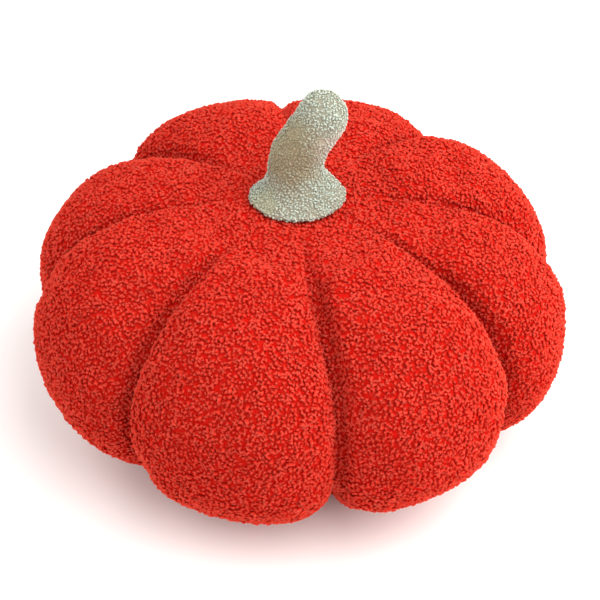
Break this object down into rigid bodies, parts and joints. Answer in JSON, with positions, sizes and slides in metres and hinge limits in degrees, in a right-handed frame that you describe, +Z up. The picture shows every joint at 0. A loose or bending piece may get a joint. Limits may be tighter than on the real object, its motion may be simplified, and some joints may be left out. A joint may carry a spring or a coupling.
{
  "type": "pumpkin cushion",
  "caption": "Round filled cushion in curly fleece, drawn in by seams into plump lobes, with a bent fleece stem on its crown.",
  "frame": {"origin": "middle of the cushion's underside, on the surface that it rests on: the bottom centre of its box", "axes": "+Z up out of the crown, -Y towards the front of the picture, +X to the right, the way the stem leans"},
  "size_m": [0.3432, 0.3468, 0.237],
  "materials": {
    "cover_fleece": "bright red boucle fleece with a dense curly pile, matt, darker between the curls",
    "stem_fleece": "pale sage boucle fleece with the same curly pile, matt, warmer between the curls"
  },
  "bodies": {
    "root": {"cushion_cover": "cover_fleece", "stem": "stem_fleece"}
  },
  "joints": []
}
